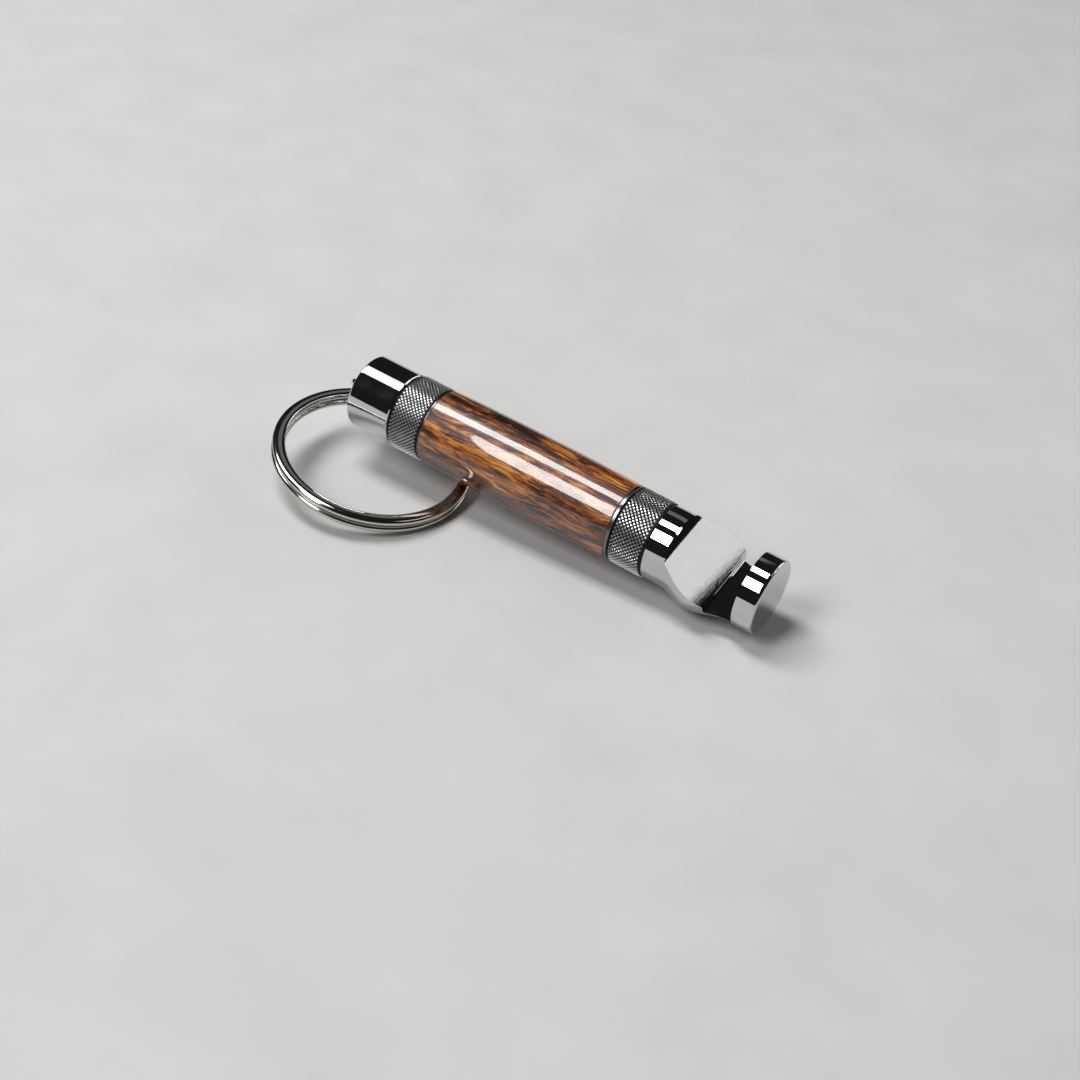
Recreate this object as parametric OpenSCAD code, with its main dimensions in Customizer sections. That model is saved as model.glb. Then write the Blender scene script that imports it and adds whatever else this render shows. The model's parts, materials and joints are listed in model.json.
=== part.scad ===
// Key ring bottle opener with a turned wooden barrel.
// The row frame has +Z up and the table at Z = 0, with the opener as it lies on it: the nose
// rests on the table, the split ring lies under the barrel, and +X runs along the barrel
// towards the nose. Sub-parts are drawn on the barrel's own axis, with X counted from the
// free end of the end cap, and rest_pose() then lays them down.

/* [Barrel] */
// Length of the wooden barrel
wood_len = 35.4; // [30:0.1:45]
// Radius of the wooden barrel at its ends
wood_r = 6.35; // [6:0.05:7]
// How far the barrel swells at its middle
wood_swell = 0.2; // [0:0.05:0.4]
// Outer radius of the brass tube glued into the barrel
tube_r = 4.76; // [4.6:0.01:5]
// Wall of the brass tube
tube_wall = 0.36; // [0.25:0.01:0.5]

/* [Collars and trim rings] */
// Length of the knurled collar at the end cap
rear_collar_len = 6.3; // [5:0.1:8]
// Length of the knurled collar at the opener head
front_collar_len = 6.1; // [5:0.1:8]
// Radius of both knurled collars
collar_r = 6.4; // [6.2:0.05:6.8]
// Bevel on the edges of the collars
collar_bevel = 0.3; // [0.1:0.05:0.5]
// Thickness of the trim ring at the rear of the barrel
rear_trim_len = 0.3; // [0.2:0.05:1]
// Thickness of the trim ring at the front of the barrel
front_trim_len = 0.6; // [0.3:0.05:1]
// Radius of both trim rings
trim_r = 6.3; // [6:0.05:6.35]

/* [End cap] */
// Length of the end cap that shows
cap_len = 8.1; // [7:0.1:10]
// Radius of the end cap
cap_r = 6.2; // [6:0.05:6.5]
// Length of each press stem inside the brass tube
stem_in_tube = 10; // [6:0.5:14]

/* [Opener head] */
// Radius of the neck and of the nose
neck_r = 6.15; // [6:0.05:6.4]
// How far the head swells past the neck
head_swell = 1.25; // [0.8:0.05:1.4]
// Length of head from the front collar to the end of the nose
head_len = 19.4; // [19:0.1:21]
// Distance from the front collar to the wall at the top of the ramp
ramp_start = 3.7; // [3.4:0.1:4.2]
// Height of the ramp's top edge above the axis
ramp_high = 2.7; // [2.4:0.1:3]
// Height of the lip at the ramp's low edge, below the axis when negative
lip_z = -1.25; // [-1.5:0.05:-0.8]
// Distance from the front collar to the lip
lip_x = 11.5; // [11:0.1:12]
// Width of the slot between the lip and the nose
slot_w = 4.5; // [4.4:0.1:5]
// Height of the slot's floor
slot_floor = -2.7; // [-3:0.1:-2.2]
// Turn of the opener head about the barrel's axis, towards -Y
head_roll = 12.3; // [0:0.1:20]

/* [Eye, link and split ring] */
// Radius of the eye's flat round head
eye_r = 1.75; // [1.7:0.05:1.8]
// Thickness of that head
eye_t = 1; // [0.9:0.05:1.1]
// Radius of the hole in the eye
eye_hole_r = 1.15; // [1.1:0.05:1.2]
// Distance of the hole behind the free end of the cap
eye_back = 1.85; // [1.8:0.05:1.9]
// Radius of the eye's shank
shank_r = 0.8; // [0.6:0.05:0.9]
// Depth of the shank in the end cap
shank_len = 5; // [3:0.5:8]
// Radius of the connector link's wire
link_wire_r = 0.45; // [0.4:0.01:0.46]
// Inner radius of the connector link's round ends
link_in_r = 2; // [2:0.05:2.1]
// Where the link holds the split ring, as an angle round the ring from its front
link_at = 130; // [128:1:132]
// Outer radius of the split ring
ring_r = 16.5; // [16:0.1:17]
// Width of the split ring's strip, measured along its radius
ring_w = 2.15; // [1.8:0.05:2.2]
// Height of the split ring's two turns together
ring_h = 2.6; // [2.2:0.1:2.7]

/* [Rest pose] */
// Angle by which the barrel's axis points down towards the nose
rest_pitch = 3.2; // [3:0.1:3.4]
// Angle by which the split ring slopes down towards the nose
ring_slope = 10.5; // [10:0.1:11]
// Distance of the split ring's centre ahead of the cap's free end
ring_ahead = 6.6; // [6:0.1:7]
// Distance of the split ring's centre beside the barrel's axis
ring_aside = 7.3; // [7:0.1:7.6]

/* [Hidden] */
$fn = 96;

fit = 0.02;                                   // radial gap of a pressed or glued joint
edge = 0.4;                                   // rounding of the cap's and nose's end edges
bevel = 0.05;                                 // broken edge of a trim ring or tube
steps = 24;                                   // stretches in each turned curve
arc_steps = 4;                                // stretches in each small arc
// stations along the axis, from the free end of the cap
x_rear_trim = cap_len + rear_collar_len;
x_wood = x_rear_trim + rear_trim_len;
x_front_trim = x_wood + wood_len;
x_front_collar = x_front_trim + front_trim_len;
x_head = x_front_collar + front_collar_len;
x_nose = x_head + head_len;
tube_in_r = tube_r - tube_wall;
stem_r = tube_in_r - fit;
swell_x0 = 2.8;                               // the swell's start, from the front collar
swell_top = 8.45;                             // its widest place
swell_x1 = 15.2;                              // and its end
slot_round = 0.3;                             // radius in the slot's inner corners
ramp_fillet = 0.2;                            // radius between the ramp and its end wall

// points on an arc about a centre, from one angle to another
function arc(centre, rad, a0, a1) = [for (i = [0:arc_steps])
    let (a = a0 + (a1 - a0) * i / arc_steps) centre + rad * [cos(a), sin(a)]];
// turned profiles are lists of [radius, x]
function swell_share(x) = x < swell_x0 || x > swell_x1 ? 0
    : x < swell_top ? (x - swell_x0) / (swell_top - swell_x0)
    : (swell_x1 - x) / (swell_x1 - swell_top);
function head_r(x) = neck_r + head_swell * pow(sin(90 * swell_share(x)), 2);
head_curve = [for (i = [0:steps]) let (x = swell_x0 + i * (swell_x1 - swell_x0) / steps)
    [head_r(x), x_head + x]];
function wood_curve_r(x) = wood_r + wood_swell * (1 - pow(2 * x / wood_len - 1, 2));

// how the whole opener lies on the table
axis_h = max([for (p = head_curve) p[1] * sin(rest_pitch) + p[0] * cos(rest_pitch)]);
ring_z = ring_r * sin(ring_slope) + ring_h / 2 * cos(ring_slope);
ring_reach = ring_r * cos(ring_slope) + ring_h / 2 * sin(ring_slope);

// the split ring's own directions, and the link from the eye's hole to the ring's far side
ring_front = [cos(ring_slope), 0, -sin(ring_slope)];
ring_far = [0, 1, 0];
ring_mid_r = ring_r - ring_w / 2;
held_at = [ring_ahead, -ring_aside, ring_z]
    + ring_mid_r * (cos(link_at) * ring_front + sin(link_at) * ring_far);
eye_at = [-eye_back * cos(rest_pitch), 0, axis_h + eye_back * sin(rest_pitch)];
link_run = norm(held_at - eye_at);
link_dir = (held_at - eye_at) / link_run;
ring_dir = sin(link_at) * ring_front - cos(link_at) * ring_far;
link_side = ring_dir - (ring_dir * link_dir) * link_dir;
link_normal = link_side / norm(link_side);
link_across = cross(link_normal, link_dir);   // the way the wire runs through the eye
link_mid_r = link_in_r + link_wire_r;
link_straight = link_run - link_mid_r;
// turn of the eye about the barrel's axis, so that its hole faces along the wire
eye_turn = atan2(link_across[0] * sin(rest_pitch) + link_across[2] * cos(rest_pitch),
                 link_across[1]);

// the origin is below the middle of the whole outline
x_low = ring_ahead - ring_reach;
x_high = x_nose * cos(rest_pitch) + (neck_r - edge) * sin(rest_pitch);
origin_x = (x_low + x_high) / 2;
origin_y = -ring_aside;

chrome = [0.82, 0.83, 0.85];
satin = [0.66, 0.67, 0.68];
amber = [0.62, 0.34, 0.12];
brass = [0.80, 0.62, 0.28];

// stands the part on the table with its origin below the middle of its outline
module on_table() { translate([-origin_x, -origin_y, 0]) children(); }
module rest_pose() { on_table() translate([0, 0, axis_h]) rotate([0, rest_pitch, 0]) children(); }
// a solid turned about the barrel's axis
module turned(profile) { rotate([0, 90, 0]) rotate_extrude() polygon(profile); }
module rod(r, x0, x1) { translate([x0, 0, 0]) rotate([0, 90, 0]) cylinder(r = r, h = x1 - x0); }
module sleeve(r, bore_r, x0, x1, cut) {
    turned([[bore_r, x0], [r - cut, x0], [r, x0 + cut],
            [r, x1 - cut], [r - cut, x1], [bore_r, x1]]);
}

// the ramp and the slot as one side view, cut straight through the head
module mouth() {
    wall_x = x_head + ramp_start;
    slot_x = x_head + lip_x;
    nose_x = slot_x + slot_w;
    top = 2 * neck_r;
    ramp_angle = atan2(ramp_high - lip_z, lip_x - ramp_start);
    wall_end = ramp_high + ramp_fillet / tan((90 + ramp_angle) / 2);
    polygon(concat([[nose_x, top], [wall_x, top]],
                   arc([wall_x + ramp_fillet, wall_end], ramp_fillet, 180, 270 - ramp_angle),
                   [[slot_x, lip_z]],
                   arc([slot_x + slot_round, slot_floor + slot_round], slot_round, 180, 270),
                   arc([nose_x - slot_round, slot_floor + slot_round], slot_round, 270, 360)));
}

module opener_head() {
    color(chrome) rest_pose() rotate([head_roll, 0, 0]) {
        difference() {
            turned(concat([[0, x_head], [neck_r - edge / 2, x_head], [neck_r, x_head + edge / 2]],
                          head_curve, arc([neck_r - edge, x_nose - edge], edge, 0, 90),
                          [[0, x_nose]]));
            rotate([90, 0, 0]) linear_extrude(4 * neck_r, center = true) mouth();
        }
        rod(stem_r, x_front_trim - stem_in_tube, x_head);
    }
}

module front_collar() {
    color(satin) rest_pose() sleeve(collar_r, stem_r + fit, x_front_collar, x_head, collar_bevel);
}

module front_trim_ring() {
    color(satin) rest_pose() sleeve(trim_r, stem_r + fit, x_front_trim, x_front_collar, bevel);
}

module wood_barrel() {
    color(amber) rest_pose() turned(concat([[tube_r + fit, x_wood]],
        [for (i = [0:steps]) let (x = i * wood_len / steps) [wood_curve_r(x), x_wood + x]],
        [[tube_r + fit, x_front_trim]]));
}

module brass_tube() {
    color(brass) rest_pose() sleeve(tube_r, tube_in_r, x_wood, x_front_trim, bevel);
}

module rear_trim_ring() {
    color(satin) rest_pose() sleeve(trim_r, stem_r + fit, x_rear_trim, x_wood, bevel);
}

module rear_collar() {
    color(satin) rest_pose() sleeve(collar_r, stem_r + fit, cap_len, x_rear_trim, collar_bevel);
}

module end_cap() {
    color(chrome) rest_pose() {
        difference() {
            turned(concat([[0, 0]], arc([cap_r - edge, edge], edge, -90, 0),
                          [[cap_r, cap_len - edge / 2], [cap_r - edge / 2, cap_len],
                           [0, cap_len]]));
            rod(shank_r + fit / 2, -edge, shank_len + edge);
        }
        rod(stem_r, cap_len, x_wood + stem_in_tube);
    }
}

// a flat round head with a hole, on a shank that is pressed into the end cap
module ring_eye() {
    color(chrome) rest_pose() rotate([eye_turn, 0, 0]) difference() {
        union() {
            translate([-eye_back, 0, 0]) rotate([90, 0, 0])
                cylinder(r = eye_r, h = eye_t, center = true);
            rod(shank_r, -eye_back + eye_hole_r, shank_len);
        }
        translate([-eye_back, 0, 0]) rotate([90, 0, 0])
            cylinder(r = eye_hole_r, h = 3 * eye_t, center = true);
    }
}

// a long link of round wire: X runs from the eye to the split ring, and Z stands on its plane
module connector_link() {
    color(chrome) on_table() multmatrix([for (i = [0:2])
            [link_dir[i], link_across[i], link_normal[i], eye_at[i]]])
        for (end = [0, 1]) {
            translate([link_mid_r + end * link_straight, 0, 0]) rotate([0, 0, 90 + end * 180])
                rotate_extrude(angle = 180) translate([link_mid_r, 0])
                    circle(r = link_wire_r, $fn = 32);
            translate([link_mid_r, (2 * end - 1) * link_mid_r, 0]) rotate([0, 90, 0])
                cylinder(r = link_wire_r, h = link_straight, $fn = 32);
        }
}

// the two turns of the split ring, closed up, with a fine groove where they meet
module split_ring() {
    groove = 0.12;
    cut = 0.25;
    in_r = ring_r - ring_w;
    half = ring_h / 2;
    color(chrome) on_table() translate([ring_ahead, -ring_aside, ring_z]) rotate([0, ring_slope, 0])
        rotate_extrude() polygon([
            [in_r, -half + cut], [in_r + cut, -half], [ring_r - cut, -half],
            [ring_r, -half + cut], [ring_r, -groove], [ring_r - groove, 0], [ring_r, groove],
            [ring_r, half - cut], [ring_r - cut, half], [in_r + cut, half],
            [in_r, half - cut], [in_r, groove], [in_r + groove, 0], [in_r, -groove]]);
}

opener_head();
front_collar();
front_trim_ring();
wood_barrel();
brass_tube();
rear_trim_ring();
rear_collar();
end_cap();
ring_eye();
connector_link();
split_ring();
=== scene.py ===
"""The looks of a key ring bottle opener with a turned wooden barrel.

Turned pieces are drawn in the barrel's own frame: X runs along its axis from the free end of the
end cap to the nose, and outlines are lists of (x, radius) in millimetres.
"""

import json
import math

import bmesh
import bpy
import numpy as np
from mathutils import Matrix, Vector


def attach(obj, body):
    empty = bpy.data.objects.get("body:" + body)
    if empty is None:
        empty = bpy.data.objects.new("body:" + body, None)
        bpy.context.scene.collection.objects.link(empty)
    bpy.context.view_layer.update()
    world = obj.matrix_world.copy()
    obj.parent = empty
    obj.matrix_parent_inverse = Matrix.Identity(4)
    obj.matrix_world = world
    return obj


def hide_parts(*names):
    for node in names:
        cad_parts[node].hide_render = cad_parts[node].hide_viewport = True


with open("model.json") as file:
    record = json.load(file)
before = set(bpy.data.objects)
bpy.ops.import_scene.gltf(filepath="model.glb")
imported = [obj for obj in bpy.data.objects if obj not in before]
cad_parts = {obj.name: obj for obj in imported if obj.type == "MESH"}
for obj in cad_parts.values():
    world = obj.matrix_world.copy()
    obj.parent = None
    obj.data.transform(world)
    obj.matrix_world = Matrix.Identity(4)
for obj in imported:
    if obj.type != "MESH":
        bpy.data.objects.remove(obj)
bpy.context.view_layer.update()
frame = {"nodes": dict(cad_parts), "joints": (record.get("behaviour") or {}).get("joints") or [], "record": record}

MM = 0.001                  # metres in a millimetre
mounts = {mount["name"]: mount for mount in frame["record"]["mounts"]}
joints = {joint["name"]: joint for joint in frame["joints"]}

# ---------------------------------------------------------------- where things are


def placed(x_axis, z_hint, origin):
    """A matrix with that X axis, Z as near the hint as it can be, and that origin."""
    x_axis = Vector(x_axis).normalized()
    y_axis = Vector(z_hint).cross(x_axis).normalized()
    matrix = Matrix((x_axis, y_axis, x_axis.cross(y_axis))).transposed().to_4x4()
    matrix.translation = origin
    return matrix


def span(node, matrix):
    """A CAD node's lowest x, highest x and largest radius about a matrix's X axis, in mm."""
    inverse = matrix.inverted()
    points = [inverse @ v.co / MM for v in frame["nodes"][node].data.vertices]
    xs = [p.x for p in points]
    return min(xs), max(xs), max(math.hypot(p.y, p.z) for p in points)


UP = Vector((0, 0, 1))
nose = mounts["nose_face"]
BARREL = placed(nose["axis"], UP, Vector(nose["pos_m"]))
BARREL.translation += BARREL.col[0].xyz * span("end_cap", BARREL)[0] * MM

ramp_normal = BARREL.to_3x3().inverted() @ Vector(mounts["opener_ramp"]["axis"])
HEAD_ROLL = math.atan2(-ramp_normal.y, ramp_normal.z)

# what several pieces share, in mm
STEM_R = 4.38               # radius of the head's and the cap's press stems
NECK_R = 6.15               # radius of the head's neck and nose
CAP_R = 6.2                 # radius of the end cap
FIT = 0.02                  # gap round a press stem
STEM_CUT = 0.3              # bevel on the inner end of a press stem
SHOULDER = 0.15             # bevel where the head or the cap meets its collar
END_ROUND = 0.4             # rounding of the nose's and the cap's outer ends

# ---------------------------------------------------------------- mesh helpers

AROUND = 224                # vertices round a turned piece
FINE = 0.25                 # longest stretch of an outline, in mm
SHARP = math.radians(35)    # an outline's corner that is sharper than this stays sharp


def arc(x, r, radius, start, end, steps=8):
    """Points on an arc about (x, r), with its angles in degrees from +X towards +radius."""
    angles = [math.radians(start + (end - start) * i / steps) for i in range(steps + 1)]
    return [(x + radius * math.cos(a), r + radius * math.sin(a)) for a in angles]


def fine_outline(outline):
    """The outline with its long stretches split up."""
    points = [outline[0]]
    for (x0, r0), (x1, r1) in zip(outline, outline[1:]):
        parts = max(1, math.ceil(math.hypot(x1 - x0, r1 - r0) / FINE))
        points += [(x0 + (x1 - x0) * i / parts, r0 + (r1 - r0) * i / parts)
                   for i in range(1, parts + 1)]
    return points


def new_object(name, mesh, matrix):
    """A piece whose mesh is carried into the row's frame, so that its object stays at the origin."""
    mesh.transform(matrix)
    thing = bpy.data.objects.new(name, mesh)
    bpy.context.scene.collection.objects.link(thing)
    return thing


def mesh_from(bm, name, smooth_below=None):
    """Turns a bmesh into a mesh with its normals outward, smooth below an angle if one is given."""
    bmesh.ops.recalc_face_normals(bm, faces=bm.faces)
    mesh = bpy.data.meshes.new(name)
    bm.to_mesh(mesh)
    bm.free()
    if smooth_below is not None:
        mesh.shade_smooth()
        mesh.set_sharp_from_angle(angle=smooth_below)
    return mesh


def join_rings(bm, rings, closed=False):
    """Skins a row of vertex rings. A ring of one vertex is a point on the axis."""
    pairs = list(zip(rings, rings[1:]))
    if closed:
        pairs.append((rings[-1], rings[0]))
    for a, b in pairs:
        count = max(len(a), len(b))
        for i in range(count):
            j = (i + 1) % count
            corners = [a[i % len(a)], a[j % len(a)], b[j % len(b)], b[i % len(b)]]
            corners = list(dict.fromkeys(corners))
            if len(corners) > 2:
                bm.faces.new(corners)


def turned_mesh(name, outline, closed=False):
    """The outline turned about X, as a mesh in metres."""
    bm = bmesh.new()
    rings = []
    for x, r in outline:
        count = AROUND if r > 0 else 1
        turns = [2 * math.pi * i / count for i in range(count)]
        rings.append([bm.verts.new((x * MM, r * MM * math.cos(t), r * MM * math.sin(t)))
                      for t in turns])
    join_rings(bm, rings, closed)
    return mesh_from(bm, name)


def stretch_normals(outline, closed):
    """For each stretch of an outline, its outward (x, r) normals at both ends."""
    stretches = list(zip(outline, outline[1:] + (outline[:1] if closed else [])))
    flat = [Vector((r0 - r1, x1 - x0)).normalized() for (x0, r0), (x1, r1) in stretches]
    ends = []
    for i, normal in enumerate(flat):
        before = flat[i - 1] if i or closed else normal
        after = flat[(i + 1) % len(flat)] if i + 1 < len(flat) or closed else normal
        ends.append(tuple((normal + other).normalized() if normal.angle(other) < SHARP else normal
                          for other in (before, after)))
    return [(a, b, n0, n1) for (a, b), (n0, n1) in zip(stretches, ends)]


def polish(mesh, outline, closed=False):
    """Gives a turned mesh the exact normals of its outline. Faces cut into it stay flat."""
    on_skin = 0.02              # a face no further than this from the outline wasn't cut, in mm
    facing = 0.5                # nor was one whose normal agrees with it to at least this cosine
    starts, ends, normals0, normals1 = (np.array(column, float)
                                        for column in zip(*stretch_normals(outline, closed)))
    runs = ends - starts

    def along(points, which):
        """How far along their stretches the points lie, from 0 to 1."""
        share = ((points - starts[which]) * runs[which]).sum(-1) / (runs[which] ** 2).sum(-1)
        return np.clip(share, 0, 1)[..., None]

    def flattened(points):
        """The points as (x, radius)."""
        return np.stack([points[..., 0], np.hypot(points[..., 1], points[..., 2])], -1)

    faces = mesh.polygons
    centres = np.array([face.center for face in faces]) / MM
    here = flattened(centres)[:, None]
    every = np.arange(len(starts))
    gaps = np.linalg.norm(here - starts - runs * along(here, every), axis=-1)
    best = gaps.argmin(1)
    owner = np.repeat(np.arange(len(faces)), [face.loop_total for face in faces])
    corners = np.array([mesh.vertices[loop.vertex_index].co for loop in mesh.loops]) / MM
    flat_corners = flattened(corners)
    which = best[owner]
    share = along(flat_corners, which)
    turned_to = normals0[which] * (1 - share) + normals1[which] * share
    side = np.where(flat_corners[:, 1:] > on_skin, corners, centres[owner])
    turn = np.arctan2(side[:, 2], side[:, 1])
    exact = np.stack([turned_to[:, 0], turned_to[:, 1] * np.cos(turn),
                      turned_to[:, 1] * np.sin(turn)], -1)
    flat = np.array([face.normal for face in faces])[owner]
    skin = (gaps.min(1)[owner] < on_skin) & ((exact * flat).sum(-1) > facing)
    mesh.shade_smooth()
    mesh.normals_split_custom_set(np.where(skin[:, None], exact, flat).tolist())


def turned(name, outline, closed=False):
    """A piece turned about the barrel's axis."""
    outline = fine_outline(outline + outline[:1] if closed else outline)
    if closed:
        outline.pop()
    mesh = turned_mesh(name, outline, closed)
    polish(mesh, outline, closed)
    return new_object(name, mesh, BARREL)


def band(name, node, bore, rounding):
    """A plain sleeve with round edges, where a CAD node is."""
    x0, x1, r = span(node, BARREL)
    return turned(name, arc(x0 + rounding, r - rounding, rounding, 180, 90, 6)
                  + arc(x1 - rounding, r - rounding, rounding, 90, 0, 6)
                  + [(x1, bore), (x0, bore)], closed=True)


def oval(half_u, half_v, power, corners):
    """A closed section between an ellipse, at power 2, and a rectangle, at high powers."""
    points = []
    for i in range(corners):
        u, v = (f(2 * math.pi * i / corners) for f in (math.cos, math.sin))
        points.append((half_u * math.copysign(abs(u) ** (2 / power), u),
                       half_v * math.copysign(abs(v) ** (2 / power), v)))
    return points


def swept(name, path, section, matrix, closed=False):
    """A section carried along a path. Both are lists of points in mm, and each path point has its
    own place, sideways direction, upward direction and scale of the section."""
    bm = bmesh.new()
    rings = [[bm.verts.new((place + side * (u * scale[0]) + up * (v * scale[1])) * MM)
              for u, v in section] for place, side, up, scale in path]
    join_rings(bm, rings, closed)
    if not closed:
        bm.faces.new(rings[0])
        bm.faces.new(rings[-1])
    return new_object(name, mesh_from(bm, name, SHARP), matrix)


# ---------------------------------------------------------------- materials


def node(tree, kind, inputs=None, **settings):
    """A shader node, with its inputs set to values or linked to sockets."""
    made = tree.nodes.new("ShaderNode" + kind)
    for key, value in settings.items():
        setattr(made, key, value)
    for key, value in (inputs or {}).items():
        if isinstance(value, bpy.types.NodeSocket):
            tree.links.new(value, made.inputs[key])
        else:
            made.inputs[key].default_value = value
    return made


def new_material(name, **sockets):
    """A material, its tree and its shader, with constants set on the shader's own sockets."""
    material = bpy.data.materials.new(name)
    material.use_nodes = True
    shader = material.node_tree.nodes["Principled BSDF"]
    for key, value in sockets.items():
        shader.inputs[key.replace("_", " ").title().replace("Ior", "IOR")].default_value = value
    return material, material.node_tree, shader


def noise(tree, vector, scale, detail, roughness=0.5):
    """Soft random patches, as values near 0.5."""
    return node(tree, "TexNoise", {"Vector": vector, "Scale": scale, "Detail": detail,
                                   "Roughness": roughness}).outputs["Fac"]


def along_barrel(tree):
    """Coordinates in the barrel's own frame, in metres."""
    to_barrel = BARREL.inverted()
    return node(tree, "Mapping", {"Vector": node(tree, "TexCoord").outputs["Object"],
                                  "Location": to_barrel.translation,
                                  "Rotation": to_barrel.to_euler()}).outputs["Vector"]


def stretched(tree, scale):
    """The barrel's coordinates, squeezed by a scale for each axis."""
    return node(tree, "Mapping", {"Vector": along_barrel(tree), "Scale": scale}).outputs["Vector"]


def between(tree, value, source, target):
    """A value carried from one range to another, and held inside it."""
    return node(tree, "MapRange", {"Value": value, "From Min": source[0], "From Max": source[1],
                                   "To Min": target[0], "To Max": target[1]}).outputs["Result"]


def ramp(tree, value, stops):
    """A colour ramp, from a list of (position, colour)."""
    made = node(tree, "ValToRGB", {"Fac": value})
    elements = made.color_ramp.elements
    while len(elements) < len(stops):
        elements.new(0.5)
    for element, (position, colour) in zip(elements, stops):
        element.position = position
        element.color = (*colour, 1)
    return made.outputs["Color"]


def bump(tree, height, strength, distance):
    """A normal that follows a height, with its distance in mm."""
    return node(tree, "Bump", {"Height": height, "Strength": strength,
                               "Distance": distance * MM}).outputs["Normal"]


def polished_metal(name, tint, smear):
    """Bright plate with fine rubbing marks round the barrel. Faint smears dim its tint and carry
    its roughness from the first value of smear to the second."""
    dimmest = 0.93
    material, tree, shader = new_material(name, metallic=1.0)
    handled = noise(tree, stretched(tree, (1, 1, 1)), scale=260, detail=5, roughness=0.6)
    rubbed = noise(tree, stretched(tree, (30, 1, 1)), scale=420, detail=2)
    tree.links.new(between(tree, handled, (0.35, 0.7), smear), shader.inputs["Roughness"])
    tints = [(0.3, tuple(dimmest * c for c in tint)), (0.7, tint)]
    tree.links.new(ramp(tree, handled, tints), shader.inputs["Base Color"])
    tree.links.new(bump(tree, rubbed, strength=0.05, distance=0.01), shader.inputs["Normal"])
    return material


def knurl_metal_with_painted_shade(name, root_r, crest_r):
    """Plate that is dull in the knurl's grooves, with painted shade that makes its grooves dark and a painted
    highlight that makes its crests bright.
    """
    groove_roughness, crest_roughness = 0.5, 0.24
    material, tree, shader = new_material(name, metallic=1.0)
    radius = node(tree, "VectorMath", {0: stretched(tree, (0, 1, 1))}, operation="LENGTH")
    height = between(tree, radius.outputs["Value"], (root_r * MM, crest_r * MM), (0, 1))
    # painted light: near-black in the grooves stands in for their shade, near-white on the crests for their
    # highlights
    colours = [(0.10, (0.03, 0.03, 0.03)), (0.50, (0.45, 0.45, 0.45)), (0.85, (0.95, 0.95, 0.94))]
    tree.links.new(ramp(tree, height, colours), shader.inputs["Base Color"])
    dulled = between(tree, height, (0, 1), (groove_roughness, crest_roughness))
    tree.links.new(dulled, shader.inputs["Roughness"])
    grit = noise(tree, stretched(tree, (1, 1, 1)), scale=2500, detail=2)
    tree.links.new(bump(tree, grit, strength=0.15, distance=0.01), shader.inputs["Normal"])
    return material


def lacquered_wood(name):
    """Amber wood with wavy dark streaks along the barrel, under a thick gloss lacquer."""
    patch_share, streak_share = 0.35, 0.32
    wavering = (0.02, 0.0042, 0.0042)   # how far the grain wanders on each axis, in metres
    material, tree, shader = new_material(name, roughness=0.42, coat_weight=1.0,
                                          coat_roughness=0.03, coat_ior=1.6)
    wander = node(tree, "TexNoise", {"Vector": stretched(tree, (0.45, 1, 1)), "Scale": 150.0,
                                     "Detail": 3.0})
    off = node(tree, "VectorMath", {0: wander.outputs["Color"], 1: (0.5, 0.5, 0.5)},
               operation="SUBTRACT").outputs["Vector"]
    shift = node(tree, "VectorMath", {0: off, 1: wavering}, operation="MULTIPLY")

    def grain(squeeze, scale, detail, roughness):
        """Noise drawn out along the barrel, on coordinates that wander."""
        moved = node(tree, "VectorMath", {0: along_barrel(tree), 1: shift.outputs["Vector"]},
                     operation="ADD")
        drawn = node(tree, "Mapping", {"Vector": moved.outputs["Vector"],
                                       "Scale": (squeeze, 1, 1)})
        return noise(tree, drawn.outputs["Vector"], scale, detail, roughness)

    def mix(a, b, share):
        """The first value with a share of the second."""
        return node(tree, "Mix", {0: share, 2: a, 3: b}, data_type="FLOAT").outputs[0]

    patches = grain(squeeze=0.3, scale=150, detail=2, roughness=0.5)
    figure = grain(squeeze=0.13, scale=900, detail=6, roughness=0.7)
    streaks = grain(squeeze=0.07, scale=2600, detail=3, roughness=0.6)
    body = mix(mix(figure, patches, patch_share), streaks, streak_share)
    colours = [(0.44, (0.010, 0.003, 0.002)), (0.475, (0.050, 0.011, 0.004)),
               (0.51, (0.18, 0.040, 0.007)), (0.55, (0.42, 0.130, 0.018)),
               (0.61, (0.75, 0.32, 0.045))]
    colour = ramp(tree, body, colours)
    pits = grain(squeeze=0.035, scale=2600, detail=2, roughness=0.5)
    pores = between(tree, pits, (0.56, 0.68), (1.0, 0.35))
    shaded = node(tree, "VectorMath", {0: colour, 1: pores}, operation="MULTIPLY")
    tree.links.new(shaded.outputs["Vector"], shader.inputs["Base Color"])
    tree.links.new(bump(tree, body, strength=0.25, distance=0.05), shader.inputs["Normal"])
    ripple = noise(tree, stretched(tree, (0.4, 1, 1)), scale=420, detail=1)
    tree.links.new(bump(tree, ripple, strength=0.08, distance=0.03), shader.inputs["Coat Normal"])
    return material


def brushed_brass(name):
    """Brass with fine drawing marks along the tube."""
    material, tree, shader = new_material(name, metallic=1.0)
    drawn = noise(tree, stretched(tree, (0.05, 1, 1)), scale=1500, detail=3)
    tints = [(0.3, (0.62, 0.43, 0.15)), (0.7, (0.85, 0.66, 0.30))]
    tree.links.new(ramp(tree, drawn, tints), shader.inputs["Base Color"])
    tree.links.new(between(tree, drawn, (0.3, 0.7), (0.22, 0.4)), shader.inputs["Roughness"])
    return material


def pale_floor(name):
    """Matt pale grey with a faint mottle."""
    material, tree, shader = new_material(name, roughness=0.75, specular_ior_level=0.25)
    mottle = noise(tree, stretched(tree, (1, 1, 1)), scale=60, detail=4)
    tints = [(0.3, (0.60, 0.60, 0.59)), (0.7, (0.64, 0.64, 0.63))]
    tree.links.new(ramp(tree, mottle, tints), shader.inputs["Base Color"])
    return material


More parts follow.
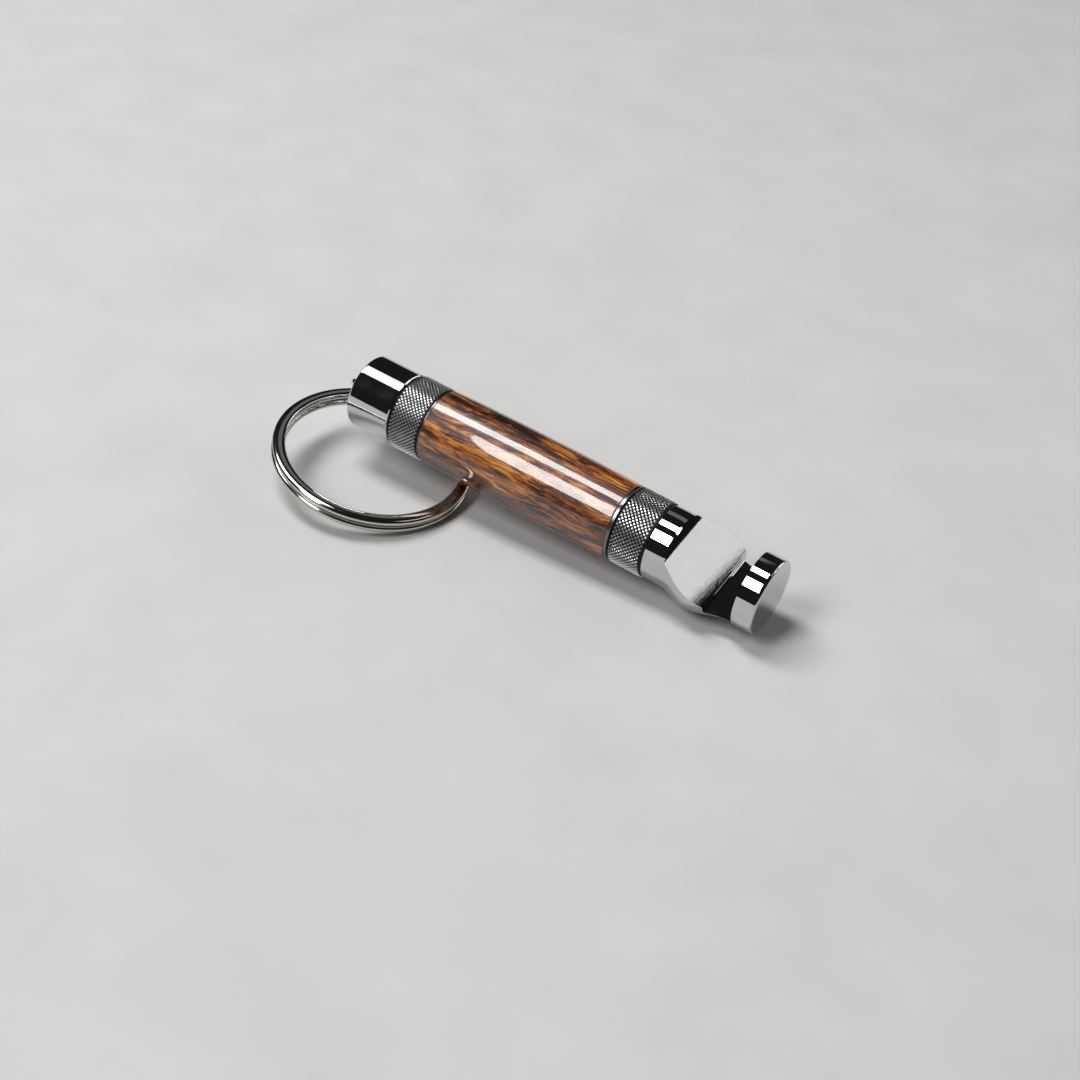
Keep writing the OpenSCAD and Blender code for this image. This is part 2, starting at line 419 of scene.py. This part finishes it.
def finish_piece(piece, body, slot, material, *nodes):
    """Paints a piece and ties it to its CAD body and nodes. The slot is not used."""
    piece.data.materials.clear()
    piece.data.materials.append(material)
    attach(piece, body)
    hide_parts(*nodes)


# ---------------------------------------------------------------- opener head

CHROME = (0.63, 0.635, 0.65)
SWELL = 1.25                # how far the head swells past the neck
SWELL_FROM, SWELL_TOP, SWELL_TO = 2.8, 8.45, 15.2   # where it does, from the front collar


def head_radius(x):
    """The head's radius at a distance from the front collar."""
    share = min((x - SWELL_FROM) / (SWELL_TOP - SWELL_FROM), (SWELL_TO - x) / (SWELL_TO - SWELL_TOP))
    return NECK_R + SWELL * math.sin(math.pi / 2 * max(0, share)) ** 2


def mouth_outline(head_x):
    """The side view of the ramp and the slot, as (x, height) above the barrel's axis."""
    ramp_start, ramp_top, ramp_end, ramp_foot = 3.7, 2.7, 11.5, -1.25
    slot_w, slot_floor, above = 4.5, -2.7, 10
    wall_fillet, slot_fillet, lip_round = 0.2, 0.3, 0.16
    wall_x, lip_x = head_x + ramp_start, head_x + ramp_end
    slope = math.degrees(math.atan2(ramp_top - ramp_foot, lip_x - wall_x))
    wall_end = ramp_top + wall_fillet / math.tan(math.radians((90 + slope) / 2))
    lip_inset = lip_round * math.tan(math.radians((90 - slope) / 2))
    nose_x = lip_x + slot_w
    return ([(nose_x, above), (wall_x, above)]
            + arc(wall_x + wall_fillet, wall_end, wall_fillet, 180, 270 - slope)
            + arc(lip_x - lip_round, ramp_foot - lip_inset, lip_round, 90 - slope, 0)
            + arc(lip_x + slot_fillet, slot_floor + slot_fillet, slot_fillet, 180, 270)
            + arc(nose_x - slot_fillet, slot_floor + slot_fillet, slot_fillet, 270, 360))


def mouth_cutter(head_x):
    """A prism across the head that takes out the ramp and the slot."""
    half_width = 12 * MM
    bm = bmesh.new()
    sides = [[bm.verts.new((x * MM, y, z * MM)) for x, z in mouth_outline(head_x)]
             for y in (-half_width, half_width)]
    join_rings(bm, sides)
    for side in sides:
        bm.faces.new(side)
    bmesh.ops.rotate(bm, verts=bm.verts, matrix=Matrix.Rotation(HEAD_ROLL, 3, "X"))
    return new_object("mouth_cutter", mesh_from(bm, "mouth_cutter"), Matrix.Identity(4))


def cut(mesh, cutter):
    """The mesh with the cutter taken out of it. The cutter is deleted."""
    piece = new_object("uncut", mesh, Matrix.Identity(4))
    modifier = piece.modifiers.new("cut", "BOOLEAN")
    modifier.operation = "DIFFERENCE"
    modifier.solver = "EXACT"
    modifier.object = cutter
    shape = piece.evaluated_get(bpy.context.evaluated_depsgraph_get())
    left = bpy.data.meshes.new_from_object(shape)
    bpy.data.objects.remove(piece)
    bpy.data.objects.remove(cutter)
    return left


def opener_head():
    """The head turned with its press stem, with the ramp and the slot cut out."""
    stem_x, nose_x, _ = span("opener_head", BARREL)
    head_x = span("front_collar", BARREL)[1]
    steps = 60
    swell = [SWELL_FROM + (SWELL_TO - SWELL_FROM) * i / steps for i in range(steps + 1)]
    outline = fine_outline(
        [(stem_x, 0), (stem_x, STEM_R - STEM_CUT), (stem_x + STEM_CUT, STEM_R), (head_x, STEM_R),
         (head_x, NECK_R - SHOULDER), (head_x + SHOULDER, NECK_R)]
        + [(head_x + x, head_radius(x)) for x in swell]
        + arc(nose_x - END_ROUND, NECK_R - END_ROUND, END_ROUND, 90, 0) + [(nose_x, 0)])
    mesh = cut(turned_mesh("head", outline), mouth_cutter(head_x))
    polish(mesh, outline)
    piece = new_object("head", mesh, BARREL)
    chrome = polished_metal("head_chrome", CHROME, smear=(0.01, 0.03))
    finish_piece(piece, "opener", "chrome_head", chrome, "opener_head")


# ---------------------------------------------------------------- end cap and its eye


def end_cap():
    """The cap turned with its press stem."""
    x0, x1, _ = span("end_cap", BARREL)
    cap_end = span("rear_collar", BARREL)[0]
    piece = turned("cap", [(x0, 0)] + arc(x0 + END_ROUND, CAP_R - END_ROUND, END_ROUND, 180, 90)
                   + [(cap_end - SHOULDER, CAP_R), (cap_end, CAP_R - SHOULDER), (cap_end, STEM_R),
                      (x1 - STEM_CUT, STEM_R), (x1, STEM_R - STEM_CUT), (x1, 0)])
    chrome = polished_metal("cap_chrome", CHROME, smear=(0.02, 0.06))
    finish_piece(piece, "opener", "chrome_cap", chrome, "end_cap")


def ring_eye():
    """A rounded eye behind the end cap, with a flanged shank that goes into the cap."""
    eye_r, hole_r, eye_t, shank_r, shank_len = 1.75, 1.15, 1.0, 0.8, 5
    flange_r, flange_t, cut_back, turns = 1.5, 0.35, 0.1, 96
    steel = polished_metal("eye_steel", (0.72, 0.72, 0.73), smear=(0.08, 0.16))
    eye = Vector(joints["link_swing"]["pos_m"])
    axis = BARREL.col[0].xyz
    hole = Vector(joints["link_swing"]["axis"])
    matrix = placed(axis, axis.cross(hole), eye)
    path = []
    for i in range(turns):
        turn = 2 * math.pi * i / turns
        out = Vector((math.cos(turn), 0, math.sin(turn)))
        path.append((out * (eye_r + hole_r) / 2, out, Vector((0, 1, 0)), (1, 1)))
    section = oval((eye_r - hole_r) / 2, eye_t / 2, power=2.6, corners=20)
    head = swept("eye", path, section, matrix, closed=True)
    finish_piece(head, "opener", "eye_steel", steel, "ring_eye")
    back = (BARREL.inverted() @ eye).x / MM
    shank = turned("eye_shank", [(back + hole_r + cut_back, 0), (back + hole_r + cut_back, shank_r),
                                 (-flange_t, shank_r)]
                   + arc(-flange_t / 2, flange_r - flange_t / 2, flange_t / 2, 180, 0)
                   + [(0, shank_r), (shank_len - cut_back, shank_r),
                      (shank_len, shank_r - cut_back), (shank_len, 0)])
    finish_piece(shank, "opener", "eye_steel", steel, "ring_eye")


# ---------------------------------------------------------------- knurled collars

TEETH = 54                  # diamonds round a collar
TOOTH_DEPTH = 0.3           # height of a diamond, in mm
FLAT = 0.24                 # how much of a diamond's half width its worn top takes
KNURL_SHARP = math.radians(8)    # an edge that is sharper than this stays sharp


def knurled_collar(name, node_name, bevel_x0, bevel_x1):
    """A sleeve with two crossing sets of grooves that leave small blunt pyramids."""
    x0, x1, crest_r = span(node_name, BARREL)
    root_r = crest_r - TOOTH_DEPTH
    columns = 2 * TEETH
    half_step = math.pi * crest_r / TEETH
    from_x, to_x = x0 + bevel_x0, x1 - bevel_x1
    rows = 2 * round((to_x - from_x) / half_step / 2)
    bm = bmesh.new()

    def at(x, column, radius):
        turn = 2 * math.pi * column / columns
        return bm.verts.new((x * MM, radius * MM * math.cos(turn), radius * MM * math.sin(turn)))

    def vertex(column, row, radius):
        return at(from_x + (to_x - from_x) * row / rows, column, radius)

    def ring(x, radius):
        return [at(x, column, radius) for column in range(columns)]

    ends = (0, rows)
    low = {(i, j): vertex(i, j, root_r) for j in range(rows + 1) for i in range(columns)
           if (i + j) % 2 == 0 or j in ends}
    for i in range(columns):
        left, right = (i - 1) % columns, (i + 1) % columns
        for j in range(rows + 1):
            if (i + j) % 2 == 0:
                continue
            if j in ends:
                inner = low[i, 1 if j == 0 else rows - 1]
                bm.faces.new((low[left, j], low[i, j], inner))
                bm.faces.new((low[i, j], low[right, j], inner))
                continue
            corners = [low[left, j], low[i, j - 1], low[right, j], low[i, j + 1]]
            top = [vertex(i + FLAT * du, j + FLAT * dv, crest_r)
                   for du, dv in ((-1, 0), (0, -1), (1, 0), (0, 1))]
            bm.faces.new(top)
            for k in range(4):
                n = (k + 1) % 4
                bm.faces.new((corners[k], corners[n], top[n], top[k]))

    bore_r = STEM_R + FIT
    join_rings(bm, [[low[i, 0] for i in range(columns)], ring(x0, root_r - bevel_x0 / 2),
                    ring(x0, bore_r), ring(x1, bore_r), ring(x1, root_r - bevel_x1 / 2),
                    [low[i, rows] for i in range(columns)]])
    piece = new_object(name, mesh_from(bm, name, KNURL_SHARP), BARREL)
    return piece, knurl_metal_with_painted_shade(name + "_plate", root_r, crest_r)


def collars():
    """The knurled collars, of which the rear one has a wider bevel at the cap."""
    wide, slim = 0.45, 0.2
    for name, node_name, slot, at_x0, at_x1 in (
            ("rear_knurl", "rear_collar", "knurled_rear", wide, slim),
            ("front_knurl", "front_collar", "knurled_front", slim, slim)):
        piece, plate = knurled_collar(name, node_name, at_x0, at_x1)
        finish_piece(piece, "opener", slot, plate, node_name)


def trim_rings():
    """The thin plain rings at the ends of the wood, tinted dark as painted shade of the gaps between the wood and
    the collars, the rear one darker than the front.
    """
    for name, node_name, slot, tint in (
            # tints: painted shade of the gap between wood and collar, darker at the rear
            ("rear_trim", "rear_trim_ring", "trim_rear", (0.13, 0.13, 0.13)),
            ("front_trim", "front_trim_ring", "trim_front", (0.20, 0.20, 0.21))):
        piece = band(name, node_name, bore=STEM_R + FIT, rounding=0.08)
        plate = polished_metal(name + "_plate", tint, smear=(0.18, 0.3))
        finish_piece(piece, "opener", slot, plate, node_name)


# ---------------------------------------------------------------- wooden barrel


def wood_barrel():
    """The wooden sleeve, fuller at its middle than at its ends."""
    x0, x1, middle_r = span("wood_barrel", BARREL)
    bore, swell, rounding, steps = 4.78, 0.2, 0.12, 40
    end_r = middle_r - swell
    crown = [end_r + swell * (1 - (2 * i / steps - 1) ** 2) for i in range(steps + 1)]
    sides = [(x0 + (x1 - x0) * i / steps, r) for i, r in enumerate(crown)][1:-1]
    piece = turned("wood", arc(x0 + rounding, end_r - rounding, rounding, 180, 90, 5) + sides
                   + arc(x1 - rounding, end_r - rounding, rounding, 90, 0, 5)
                   + [(x1, bore), (x0, bore)], closed=True)
    finish_piece(piece, "opener", "wood", lacquered_wood("amber_wood"), "wood_barrel")


def brass_tube():
    """The tube can't be seen, so its CAD node stays and only gets its metal."""
    tube = frame["nodes"]["brass_tube"]
    tube.data.materials.clear()
    tube.data.materials.append(brushed_brass("tube_brass"))


# ---------------------------------------------------------------- link and split ring


def connector_link():
    """A long closed link of round wire, from the eye to the split ring."""
    wire_r, mid_r, bend_steps, side_steps = 0.45, 2.45, 40, 12
    eye, held = (Vector(joints[name]["pos_m"]) for name in ("link_swing", "ring_swing"))
    across = Vector(joints["link_swing"]["axis"])
    matrix = placed(held - eye, (held - eye).cross(across), eye)
    straight = (held - eye).length / MM - mid_r
    up = Vector((0, 0, 1))
    path = []
    for end in (0, 1):
        centre = Vector((mid_r + end * straight, 0, 0))
        for i in range(bend_steps + 1):
            turn = math.pi * (0.5 + end + i / bend_steps)
            out = Vector((math.cos(turn), math.sin(turn), 0))
            path.append((centre + out * mid_r, out, up, (1, 1)))
        last, out = path[-1][:2]
        step = Vector(((1 - 2 * end) * straight / side_steps, 0, 0))
        path += [(last + step * i, out, up, (1, 1)) for i in range(1, side_steps)]
    section = oval(wire_r, wire_r, power=2, corners=24)
    piece = swept("link", path, section, matrix, closed=True)
    steel = polished_metal("link_steel", (0.70, 0.70, 0.71), smear=(0.06, 0.14))
    finish_piece(piece, "link", "link_steel", steel, "connector_link")


def split_ring():
    """A strip wound twice, which steps up over its own first end where it has gone once round."""
    loop = mounts["key_ring_loop"]
    normal = Vector(loop["axis"]).normalized()
    about = placed(normal, (1, 0, 0), Vector(loop["pos_m"]))
    low, high, outer_r = span("split_ring", about)
    width, gap = 2.15, 0.14
    thick = (high - low - gap) / 2
    level = (high - low - thick) / 2
    step_from, step_turn, end_gap, end_taper = 72, 26, 3, 5     # in degrees round the ring
    end_width, end_thick = 0.86, 0.6    # how much of its section the strip keeps at an end
    per_turn = 180
    matrix = placed(Vector((1, 0, 0)) - normal * normal.x, normal, Vector(loop["pos_m"]))
    whole = 2 * 360 - step_turn - end_gap
    count = round(per_turn * whole / 360)
    path = []
    for i in range(count + 1):
        gone = whole * i / count
        climb = min(1, max(0, (gone - 360 + step_turn) / step_turn))
        height = level * (2 * climb * climb * (3 - 2 * climb) - 1)
        turn = math.radians(step_from + step_turn + gone)
        out = Vector((math.cos(turn), math.sin(turn), 0))
        near_end = min(1, min(gone, whole - gone) / end_taper)
        path.append((out * (outer_r - width / 2) + Vector((0, 0, height)), out, Vector((0, 0, 1)),
                     (end_width + (1 - end_width) * near_end,
                      end_thick + (1 - end_thick) * near_end)))
    section = oval(width / 2, thick / 2, power=2.4, corners=28)
    piece = swept("ring", path, section, matrix)
    steel = polished_metal("ring_steel", (0.62, 0.60, 0.56), smear=(0.07, 0.15))
    finish_piece(piece, "ring", "ring_steel", steel, "split_ring")


# ---------------------------------------------------------------- floor, light and camera


def floor():
    """A wide flat stage, with the opener at its middle."""
    half = 1.5
    bm = bmesh.new()
    bmesh.ops.create_grid(bm, x_segments=8, y_segments=8, size=half)
    piece = new_object("floor", mesh_from(bm, "floor"), Matrix.Identity(4))
    piece.data.materials.append(pale_floor("floor_paint"))


def softbox(name, towards, size, radiance, distance=1.0, spin=0):
    """A rectangular light in that direction. Its first side runs along X before it is spun, in
    degrees, and sizes are in metres."""
    away = Vector(towards).normalized()
    data = bpy.data.lights.new(name, "AREA")
    data.shape = "RECTANGLE"
    data.size, data.size_y = size
    data.energy = radiance * math.pi * size[0] * size[1]
    light = bpy.data.objects.new(name, data)
    bpy.context.scene.collection.objects.link(light)
    light.matrix_world = (placed(Vector((1, 0, 0)) - away * away.x, away, away * distance)
                          @ Matrix.Rotation(math.radians(spin), 4, "Z"))


def lights():
    """Two bright boxes give the streaks along the barrel. The dim ones light the ramp, the lip,
    the ring and whatever faces away from the camera."""
    softbox("overhead", (-0.42, 0.02, 0.90), (0.66, 0.28), radiance=11)
    softbox("overhead_end", (-0.50, 0.05, 0.86), (0.28, 0.46), radiance=1.6, distance=1.02)
    softbox("near_side", (-0.255, -0.57, 0.69), (0.27, 0.48), radiance=11)
    softbox("ramp_fill", (0.45, 0.41, 0.79), (0.191, 0.60), radiance=1.0, spin=15.25)
    softbox("lip_fill", (0.70, 0.49, 0.52), (0.20, 0.20), radiance=3)
    softbox("ring_fill", (-0.27, 0.65, 0.70), (0.24, 0.26), radiance=0.17)
    softbox("back_fill", (0.42, 0.80, 0.34), (0.62, 0.70), radiance=1.2)
    world = bpy.data.worlds.new("studio")
    bpy.context.scene.world = world
    world.use_nodes = True
    background = world.node_tree.nodes["Background"]
    background.inputs["Color"].default_value = (0.014, 0.014, 0.016, 1)
    bpy.context.scene.view_settings.view_transform = "Standard"


def camera():
    """A view from above the nose and to its near side, rolled a little."""
    place, aim = Vector((0.10975, -0.1856, 0.1628)), Vector((0.00465, 0.0030, 0.0012))
    roll = math.radians(7.02)
    data = bpy.data.cameras.new("camera")
    data.sensor_width = 36
    data.lens = 56.67
    data.clip_start = 0.01
    thing = bpy.data.objects.new("camera", data)
    bpy.context.scene.collection.objects.link(thing)
    back = (place - aim).normalized()
    right = UP.cross(back).normalized()
    up = back.cross(right)
    right, up = (right * math.cos(roll) + up * math.sin(roll),
                 up * math.cos(roll) - right * math.sin(roll))
    thing.matrix_world = Matrix((right, up, back)).transposed().to_4x4()
    thing.matrix_world.translation = place
    bpy.context.scene.camera = thing


camera()
opener_head()
end_cap()
ring_eye()
collars()
trim_rings()
wood_barrel()
brass_tube()
connector_link()
split_ring()
floor()
lights()
